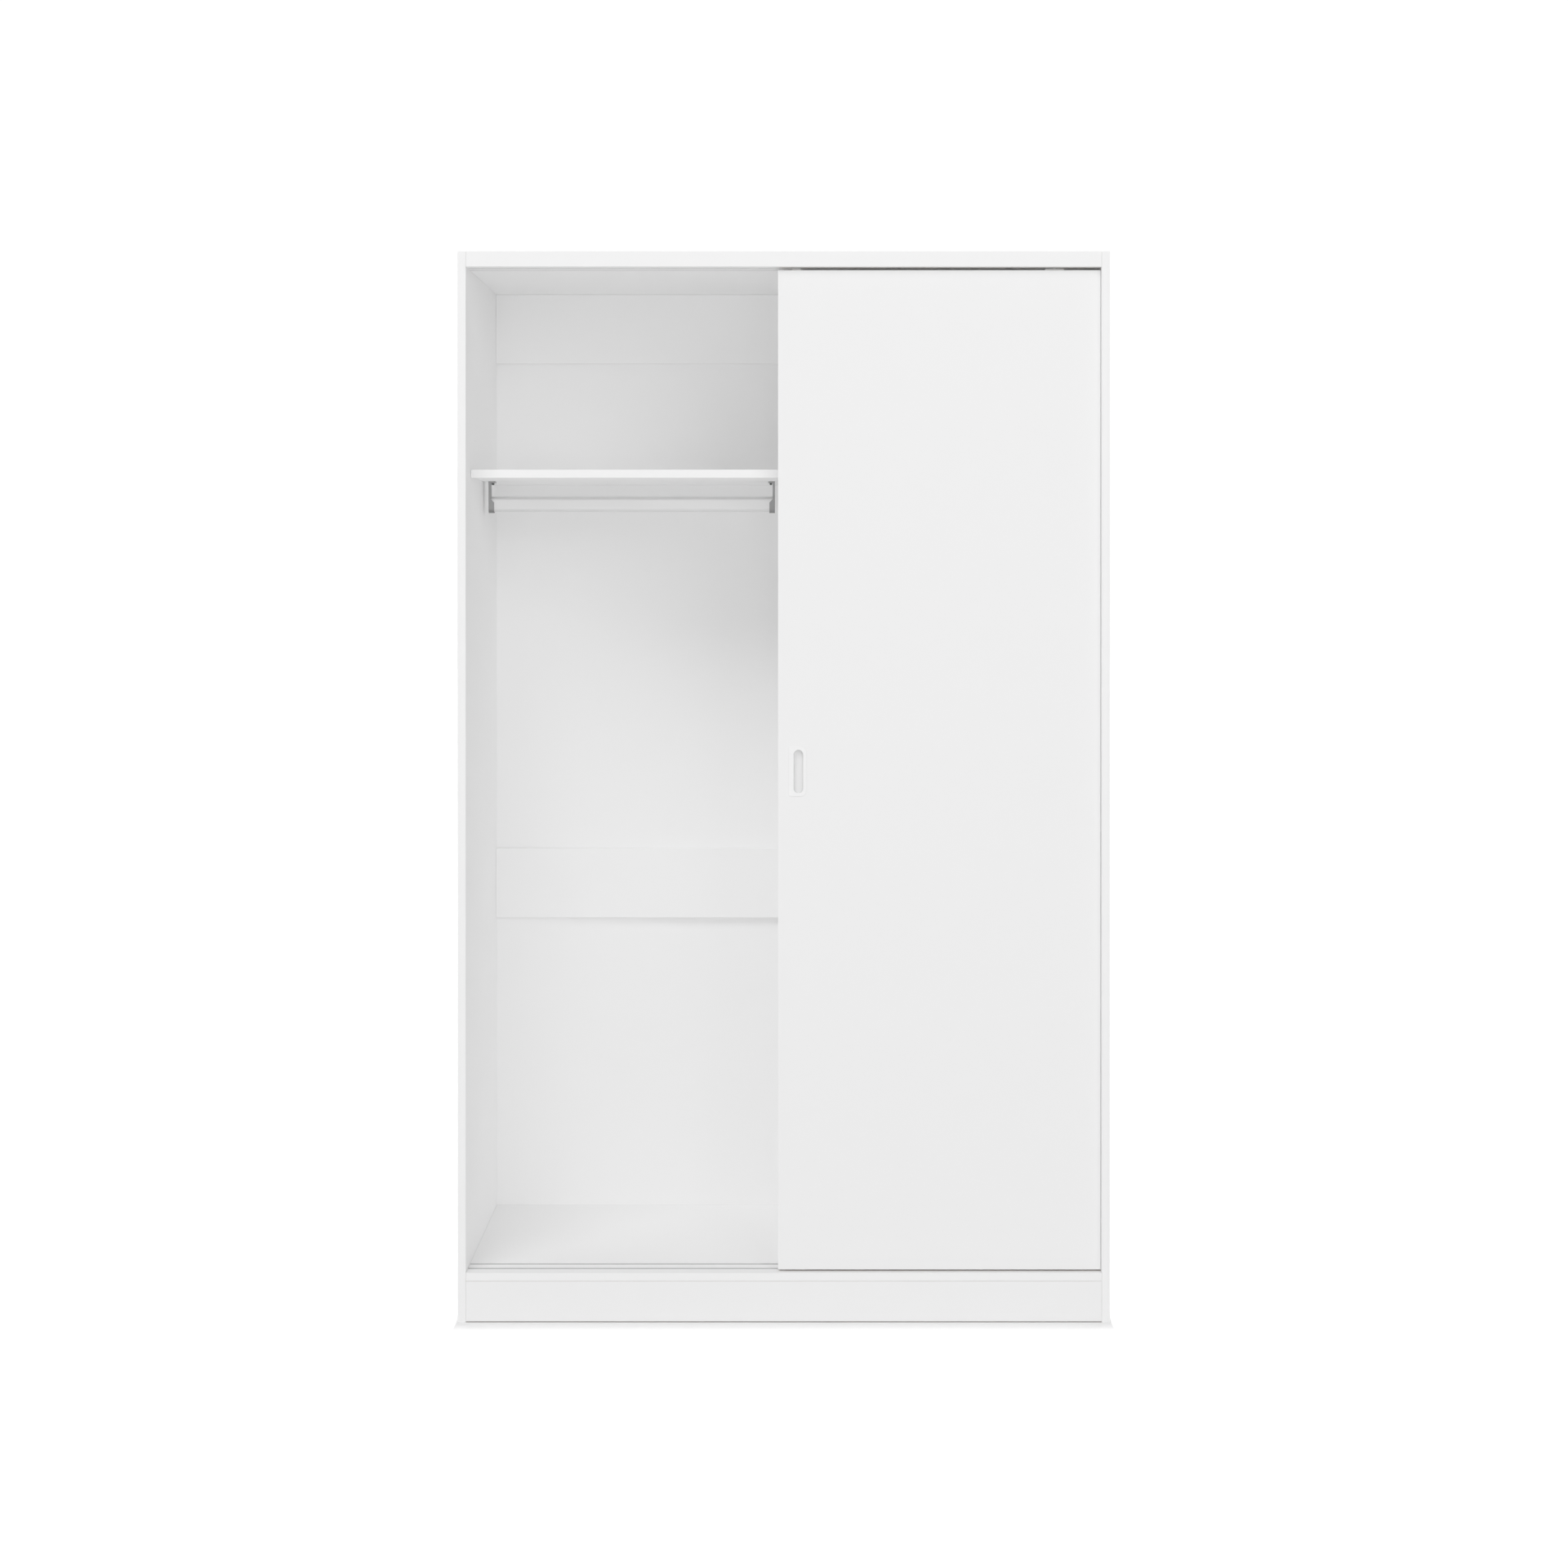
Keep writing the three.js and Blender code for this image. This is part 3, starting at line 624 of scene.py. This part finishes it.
def add_hanging_rail():
    """An oval tube with a thin wall and slightly broken edges at its open ends."""
    low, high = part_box("hanging_rail")
    width, height = high.y - low.y, high.z - low.z
    y, z = (low.y + high.y) / 2, (low.z + high.z) / 2
    broken = RAIL_WALL / 4
    rings = []
    for end, inward in ((low.x, 1), (high.x, -1)):
        outside = [(end + inward * broken, 0.0), (end, -broken)]
        inside = [(end, broken - RAIL_WALL), (end + inward * broken, -RAIL_WALL)]
        profile = outside + inside
        if inward < 0:
            profile = profile[::-1]
        rings.append([along_x(slot_outline(width, height, grow), x, y, z) for x, grow in profile])
    left, right = rings
    shell = Shell().loft(left[::-1] + right[::-1], closed=True)
    add_piece(
        "hanging_rail_tube", shell.mesh(), "bright_metal", "cabinet", ["hanging_rail"]
    )


# ---- Door pulls --------------------------------------------------------------------------------


def add_pull(door, edge_side):
    """A flush pull: a thin plate with a slot-shaped cup, greyer inside as painted shade. Its square
    side is towards the door's edge.
    """
    low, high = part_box(f"{door}_pull")
    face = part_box(f"{door}_panel")[0].y
    proud = face - low.y
    width, height = high.x - low.x, high.z - low.z
    x, z = (low.x + high.x) / 2, (low.z + high.z) / 2
    recess_x = x - edge_side * PULL_RECESS_SHIFT
    left, right = PULL_EDGE_CORNER, PULL_INNER_CORNER
    if edge_side > 0:
        left, right = right, left

    def plate(shrink, out):
        outline = rounded_outline(width, height, left, right, -shrink)
        return along_y(outline, x, face - out, z)

    def recess(grow, out):
        return along_y(slot_outline(*PULL_RECESS, grow), recess_x, face - out, z)

    seat = proud / 20
    floor = proud - PULL_RECESS_DEPTH
    cup_back = floor - PULL_CUP_WALL
    rings = [recess(PULL_CUP_WALL - PULL_CUP_CHAMFER, cup_back)]
    rings += [recess(PULL_CUP_WALL, cup_back + PULL_CUP_CHAMFER), recess(PULL_CUP_WALL, seat)]
    rings += [plate(PULL_PLATE_BACK_STEP, seat), plate(0.0, 3 * seat)]
    rise = proud - PULL_RIM_FILLET
    rings += [plate(across, rise + up) for across, up in fillet(PULL_RIM_FILLET)]
    lip = [(PULL_LIP_FILLET - across, up) for across, up in fillet(PULL_LIP_FILLET)]
    rings += [recess(grow, proud - PULL_LIP_FILLET + up) for grow, up in lip[::-1]]
    for across, up in fillet(PULL_FLOOR_FILLET):
        rings.append(recess(-PULL_WALL_DRAFT - across, floor + PULL_FLOOR_FILLET - up))
    mesh = Shell().loft(rings).mesh()
    name, replaced = f"{door}_flush_pull", [f"{door}_pull"]
    add_piece(name, mesh, "white_plastic", door, replaced)
    # The faces inside the recess take the greyer plastic, which paints shade into the cup.
    mesh.materials.append(finishes["pull_cup_painted_shade"])
    reach_x, reach_z = PULL_RECESS[0] / 2, PULL_RECESS[1] / 2
    for polygon in mesh.polygons:
        centre = polygon.center
        inside = abs(centre.x - recess_x) < reach_x and abs(centre.z - z) < reach_z
        if inside and centre.y > low.y + 2 * PULL_LIP_FILLET:
            polygon.material_index = 1


# ---- Turned pieces -----------------------------------------------------------------------------


def turned_mesh(profile, centre, axis="Y", steps=ROUND_STEPS):
    """A profile of (radius, along) points turned about an axis through the centre."""
    closed = profile[0][0] > 0
    rings = []
    for radius, along in profile:
        shifted = Vector(centre) + along * UNIT[axis]
        rings.append(ACROSS[axis](circle(max(radius, 1e-6), steps), *shifted))
    return Shell().loft(rings, closed=closed).mesh()


def centre_of(node):
    low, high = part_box(node)
    return (low + high) / 2


def add_wheel(door, end):
    """A small nylon wheel with a crowned tread, a thin web and a hub."""
    node = f"{door}_roller_wheel_{end}"
    low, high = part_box(node)
    radius, side = (high.z - low.z) / 2, (high.y - low.y) / 2
    bore, hub, rim, web, edge = (WHEEL[part] for part in ("bore", "hub", "rim", "web", "edge"))
    small, corner = WHEEL_BREAK, 2 * WHEEL_BREAK
    half = [
        (rim - corner, web),
        (rim, web + corner),
        (rim, side - small),
        (rim + small, side),
        (radius - edge - WHEEL_CROWN / 2, side),
        (radius - WHEEL_CROWN, side - edge / 2),
        (radius - WHEEL_CROWN / 4, side - edge - WHEEL_CROWN),
    ]
    core = [(bore, side - small), (bore + small, side), (hub - small, side), (hub, side - small)]
    core += [(hub, web + corner), (hub + corner, web)]
    upper = core + half + [(radius, 0.0)]
    lower = [(r, -y) for r, y in reversed(core + half)]
    mesh = turned_mesh(upper + lower, centre_of(node))
    add_piece(f"{door}_nylon_wheel_{end}", mesh, "nylon", f"{door}_wheel_{end}", [node])


def add_axle(door, end):
    """A riveted pin with a low domed head on the back of the housing."""
    node = f"{door}_roller_axle_{end}"
    low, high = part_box(node)
    head = (high.x - low.x) / 2
    x, z = (low.x + high.x) / 2, (low.z + high.z) / 2
    pin, head_height = AXLE_PIN_RADIUS, AXLE_HEAD_HEIGHT
    dome = [(head * math.cos(turn), math.sin(turn)) for turn in (0.35, 0.75, 1.15)]
    profile = [(0.0, low.y), (pin - WHEEL_BREAK, low.y), (pin, low.y + WHEEL_BREAK)]
    profile += [(pin, high.y - head_height), (head - WHEEL_BREAK / 3, high.y - head_height)]
    profile += [(head, high.y - 0.8 * head_height)]
    profile += [(r, high.y - 0.8 * head_height * (1 - rise)) for r, rise in dome]
    profile += [(0.0, high.y)]
    mesh = turned_mesh(profile, (x, 0.0, z))
    add_piece(f"{door}_axle_pin_{end}", mesh, "steel", door, [node])


def screw_head_mesh(centre, axis, facing, radius, height):
    """A pan head with a cross recess; its seat is at the centre and it faces along the axis."""
    rim, crown = SCREW_RIM, SCREW_CROWN_SHARE
    profile = [(0.0, 0.0), (radius - 2 * rim / 3, 0.0), (radius, rim)]
    for step in range(1, 9):
        turn = math.radians(10 * step)
        out = radius * (crown + (1 - crown) * math.cos(turn))
        profile.append((out, rim + (height - rim) * math.sin(turn)))
    profile.append((0.0, height))
    profile = [(r, facing * along) for r, along in profile]
    head = turned_mesh(profile, centre, axis, SCREW_HEAD_STEPS)
    reach, half = (share * radius for share in SCREW_CROSS["arm"])
    above, bottom = height + SCREW_CROSS["overcut"], height * (1 - SCREW_CROSS["depth"])
    taper = SCREW_CROSS["taper"]
    blades = []
    for long, short in ((reach, half), (half, reach)):
        outlines = []
        for share, along in ((1.0, above), (1.0, height), (taper, bottom)):
            u, w = long * share, short * share
            outline = [(-u, -w), (u, -w), (u, w), (-u, w)]
            shifted = Vector(centre) + facing * along * UNIT[axis]
            outlines.append(ACROSS[axis](outline, *shifted))
        blades.append(Shell().loft(outlines).mesh())
    return combined(head, blades, "DIFFERENCE")


# ---- Rail brackets -----------------------------------------------------------------------------


def add_bracket(end, inward):
    """A die-cast bracket: a tab under the shelf, a plate, and a cradle whose arms slope down."""
    node = f"rail_bracket_{end}"
    low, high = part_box(node)
    rail_low, rail_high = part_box("hanging_rail")
    wall = rail_low.z - low.z
    y = (rail_low.y + rail_high.y) / 2
    middle = (rail_low.z + rail_high.z) / 2
    outer_face = low.x if inward > 0 else high.x
    plate_face = (rail_low.x if inward > 0 else rail_high.x) - inward * BRACKET_GAP
    plate = abs(plate_face - outer_face)
    tab_reach, tab_thickness = BRACKET_TAB["reach"], BRACKET_TAB["thickness"]
    width, height = rail_high.y - rail_low.y, rail_high.z - rail_low.z

    def at(distance):
        return outer_face + inward * distance

    def prism(outline, near, far):
        return Shell().loft([along_x(outline, at(x), y, middle) for x in (near, far)]).mesh()

    rim = slot_outline(width, height, wall)
    top = high.z - middle
    half = width / 2 + wall
    cradle = prism(rim, 0.0, BRACKET_CRADLE)
    upright = prism([(-half, 0.0), (half, 0.0), (half, top), (-half, top)], 0.0, plate)
    tab_half = (high.y - low.y) / 2
    foot = top - tab_thickness
    tab_outline = [(-tab_half, foot), (tab_half, foot), (tab_half, top), (-tab_half, top)]
    tab = prism(tab_outline, 0.0, tab_reach)
    ribs = []
    for level in CRADLE_RIB_LEVELS:
        foot_z = -height / 2 - wall + level
        band = [(-2 * half, foot_z), (2 * half, foot_z)]
        band += [(across, up + CRADLE_RIB_HEIGHT) for across, up in reversed(band)]
        proud = prism(slot_outline(width, height, wall + CRADLE_RIB_RISE), 0.0, BRACKET_CRADLE)
        ribs.append(combined(proud, [prism(band, -tab_reach, tab_reach)], "INTERSECT"))
    body = combined(cradle, [upright, tab, *ribs], "UNION")

    seat = prism(slot_outline(width, height, BRACKET_GAP), plate, 2 * tab_reach)
    arm_top, slope = BRACKET_ARM_TOP, BRACKET_CRADLE - plate
    cleared = [
        (plate, foot),
        (plate, arm_top),
        (plate + slope, arm_top - slope),
        (3 * tab_reach, arm_top - slope),
        (3 * tab_reach, foot),
    ]
    rings = [[(at(x), y + side * 2 * half, middle + z) for x, z in cleared] for side in (-1, 1)]
    body = combined(body, [seat, Shell().loft(rings).mesh()], "DIFFERENCE")
    rounded(body, BRACKET_EDGE_RADIUS)
    add_piece(f"rail_bracket_{end}_casting", body, "zinc", "cabinet", [node])

    screw = f"rail_bracket_screw_{end}"
    screw_low, screw_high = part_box(screw)
    screw_x = (screw_low.x + screw_high.x) / 2
    under_tab = high.z - tab_thickness - BRACKET_GAP
    head = screw_head_mesh((screw_x, y, under_tab), "Z", -1, **BRACKET_SCREW_HEAD)
    radius, length = BRACKET_SCREW_SHANK["radius"], BRACKET_SCREW_SHANK["length"]
    shank_profile = [(0.0, -BRACKET_GAP), (radius, -BRACKET_GAP), (radius, length)]
    shank_profile += [(0.0, screw_high.z - under_tab)]
    shank = turned_mesh(shank_profile, (screw_x, y, under_tab), "Z", SHANK_STEPS)
    whole = combined(head, [shank], "UNION")
    add_piece(f"bracket_pan_screw_{end}", whole, "black_steel", "cabinet", [screw])


# ---- Small fastenings --------------------------------------------------------------------------


def joined(meshes):
    """One mesh that holds all of them, side by side."""
    work = bmesh.new()
    for mesh in meshes:
        work.from_mesh(mesh)
    result = bpy.data.meshes.new("joined")
    work.to_mesh(result)
    work.free()
    return result


def add_fitting_screws(door):
    """Two screws through the back of each roller housing and of each guide."""
    heads = []
    for end in ("left", "right"):
        low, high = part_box(f"{door}_roller_housing_{end}")
        x, z = (low.x + high.x) / 2, high.z - HOUSING_SCREW_BELOW_TOP
        for side in (-1, 1):
            centre = (x + side * FITTING_SCREW_SPACING["housing"] / 2, high.y, z)
            heads.append(screw_head_mesh(centre, "Y", 1, **FITTING_SCREW_HEAD))
    for guide in ("narrow", "wide"):
        low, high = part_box(f"{door}_guide_{guide}")
        x = (low.x + high.x) / 2
        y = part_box(f"{door}_panel")[1].y + GUIDE_BEHIND_DOOR
        for step in (0, 1):
            z = low.z + GUIDE_SCREW_ABOVE_FOOT + step * FITTING_SCREW_SPACING["guide"]
            heads.append(screw_head_mesh((x, y, z), "Y", 1, **FITTING_SCREW_HEAD))
    add_piece(f"{door}_fitting_screws", joined(heads), "steel", door)


def add_back_nails():
    """Nail heads round the edges of the back sheets and down the middle, into the divider."""
    lower_low, lower_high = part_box("back_panel_lower")
    upper_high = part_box("back_panel_upper")[1]
    left, right = lower_low.x + NAIL_EDGE_DISTANCE, lower_high.x - NAIL_EDGE_DISTANCE
    bottom, top = lower_low.z + NAIL_EDGE_DISTANCE, upper_high.z - NAIL_EDGE_DISTANCE
    rows = math.floor((top - bottom) / NAIL_PITCH)
    columns = math.floor((right - left) / NAIL_PITCH)
    levels = [bottom + (top - bottom) * i / rows for i in range(rows + 1)]
    across = [left + (right - left) * i / columns for i in range(1, columns)]
    places = [(x, z) for x in (left, 0.0, right) for z in levels]
    places += [(x, z) for z in (bottom, top) for x in across]
    profile = [
        (0.0, 0.0),
        (NAIL_HEAD_RADIUS, 0.0),
        (NAIL_HEAD_RADIUS, 0.6 * NAIL_HEAD_HEIGHT),
        (0.8 * NAIL_HEAD_RADIUS, NAIL_HEAD_HEIGHT),
        (0.0, NAIL_HEAD_HEIGHT),
    ]
    heads = [turned_mesh(profile, (x, lower_high.y, z), "Y", NAIL_STEPS) for x, z in places]
    add_piece("back_nails", joined(heads), "steel", "cabinet")


def add_seam_tape():
    """Tape over the joint between the two back sheets, on the outside."""
    low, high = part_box("back_panel_lower")
    half_width, thickness = SEAM_TAPE_WIDTH / 2, SEAM_TAPE_THICKNESS
    margin = SEAM_TAPE_WIDTH / 10
    outline = rounded_outline(2 * thickness, 2 * half_width, thickness, thickness)
    halves = [(max(across, 0.0), up) for across, up in outline]
    rings = [along_x(halves, x, high.y, high.z) for x in (low.x + margin, high.x - margin)]
    add_piece("back_seam_tape", Shell().loft(rings).mesh(), "seam_tape", "cabinet")


# ---- Assembly ----------------------------------------------------------------------------------

dress_cad_nodes()
add_hanging_rail()
for end, inward in (("left", 1), ("right", -1)):
    add_bracket(end, inward)
for door, edge_side in (("door_front", -1), ("door_rear", 1)):
    add_pull(door, edge_side)
    for end in ("left", "right"):
        add_wheel(door, end)
        add_axle(door, end)
    add_fitting_screws(door)
add_back_nails()
add_seam_tape()


# ---- Studio ------------------------------------------------------------------------------------


def add_floor():
    """A wide pale floor. To the lens it glows white, as in a studio, except close to the wardrobe,
    where the glow fades to leave a painted contact shadow.
    """
    signs = ((-1, -1), (1, -1), (1, 1), (-1, 1))
    corners = [(FLOOR_REACH * x, FLOOR_REACH * y, 0.0) for x, y in signs]
    mesh = bpy.data.meshes.new("floor")
    mesh.from_pydata(corners, [], [(0, 1, 2, 3)])
    finish = Finish("floor", Roughness=0.9, Emission_Color=(1.0, 1.0, 1.0, 1.0))
    finish.set("Base Color", finish.colour(finish.noise(1.5), grey(0.90), grey(0.92)))
    # The glow is nothing at the wardrobe's footprint and grows outwards: a painted contact shadow round
    # the base.
    ramps = []
    for axis, half in (("X", cad_box[1].x), ("Y", cad_box[1].y)):
        ramp = finish.tree.nodes.new("ShaderNodeMapRange")
        ramp.interpolation_type = "SMOOTHSTEP"
        ramp.inputs["From Min"].default_value = half
        ramp.inputs["From Max"].default_value = half + FLOOR_PAINTED_SHADOW_REACH[axis]
        ramp.inputs["To Max"].default_value = FLOOR_GLOW
        finish.link(finish.maths("ABSOLUTE", finish.along(axis)), ramp.inputs["Value"])
        ramps.append(ramp.outputs["Result"])
    seen = finish.tree.nodes.new("ShaderNodeLightPath")
    glow = finish.maths("MULTIPLY", seen.outputs["Is Camera Ray"], finish.maths("MAXIMUM", *ramps))
    finish.set("Emission Strength", glow)
    mesh.materials.append(finish.material)
    piece = bpy.data.objects.new("floor", mesh)
    bpy.context.scene.collection.objects.link(piece)


def add_area_light(name, azimuth, elevation, size, power):
    """A soft box aimed at the middle of the wardrobe. Azimuth 0 is in front of it, 90 on its right."""
    turn, tilt = math.radians(azimuth), math.radians(elevation)
    away = Vector((math.sin(turn) * math.cos(tilt), -math.cos(turn) * math.cos(tilt), math.sin(tilt)))
    data = bpy.data.lights.new(name, "AREA")
    data.shape = "RECTANGLE"
    data.size, data.size_y = size
    data.energy = power
    light = bpy.data.objects.new(name, data)
    light.location = (cad_box[0] + cad_box[1]) / 2 + LIGHT_DISTANCE * away
    light.rotation_euler = (-away).to_track_quat("-Z", "Y").to_euler()
    light.visible_camera = False
    bpy.context.scene.collection.objects.link(light)


def add_world(ambient, background):
    """White all round: one strength for what the lens sees, and another for the light it gives."""
    world = bpy.data.worlds.new("studio")
    world.use_nodes = True
    tree = world.node_tree
    shown = tree.nodes.new("ShaderNodeBackground")
    given = tree.nodes["Background"]
    for node, strength in ((shown, background), (given, ambient)):
        node.inputs["Color"].default_value = (1.0, 1.0, 1.0, 1.0)
        node.inputs["Strength"].default_value = strength
    seen = tree.nodes.new("ShaderNodeLightPath")
    mix = tree.nodes.new("ShaderNodeMixShader")
    tree.links.new(seen.outputs["Is Camera Ray"], mix.inputs["Fac"])
    tree.links.new(given.outputs["Background"], mix.inputs[1])
    tree.links.new(shown.outputs["Background"], mix.inputs[2])
    tree.links.new(mix.outputs["Shader"], tree.nodes["World Output"].inputs["Surface"])
    bpy.context.scene.world = world


def add_camera():
    data = bpy.data.cameras.new("camera")
    data.sensor_width = 36.0
    data.lens = CAMERA["lens"]
    data.shift_x, data.shift_y = CAMERA["shift"]
    camera = bpy.data.objects.new("camera", data)
    camera.location = CAMERA["place"]
    camera.rotation_euler = (math.radians(90), 0.0, 0.0)
    bpy.context.scene.collection.objects.link(camera)
    bpy.context.scene.camera = camera


add_camera()
add_floor()
add_world(AMBIENT, BACKGROUND)
for name, light in LIGHTS.items():
    add_area_light(name, *light)
bpy.context.scene.view_settings.view_transform = "Standard"
bpy.context.scene.view_settings.gamma = GAMMA
bpy.context.scene.cycles.diffuse_bounces = DIFFUSE_BOUNCES
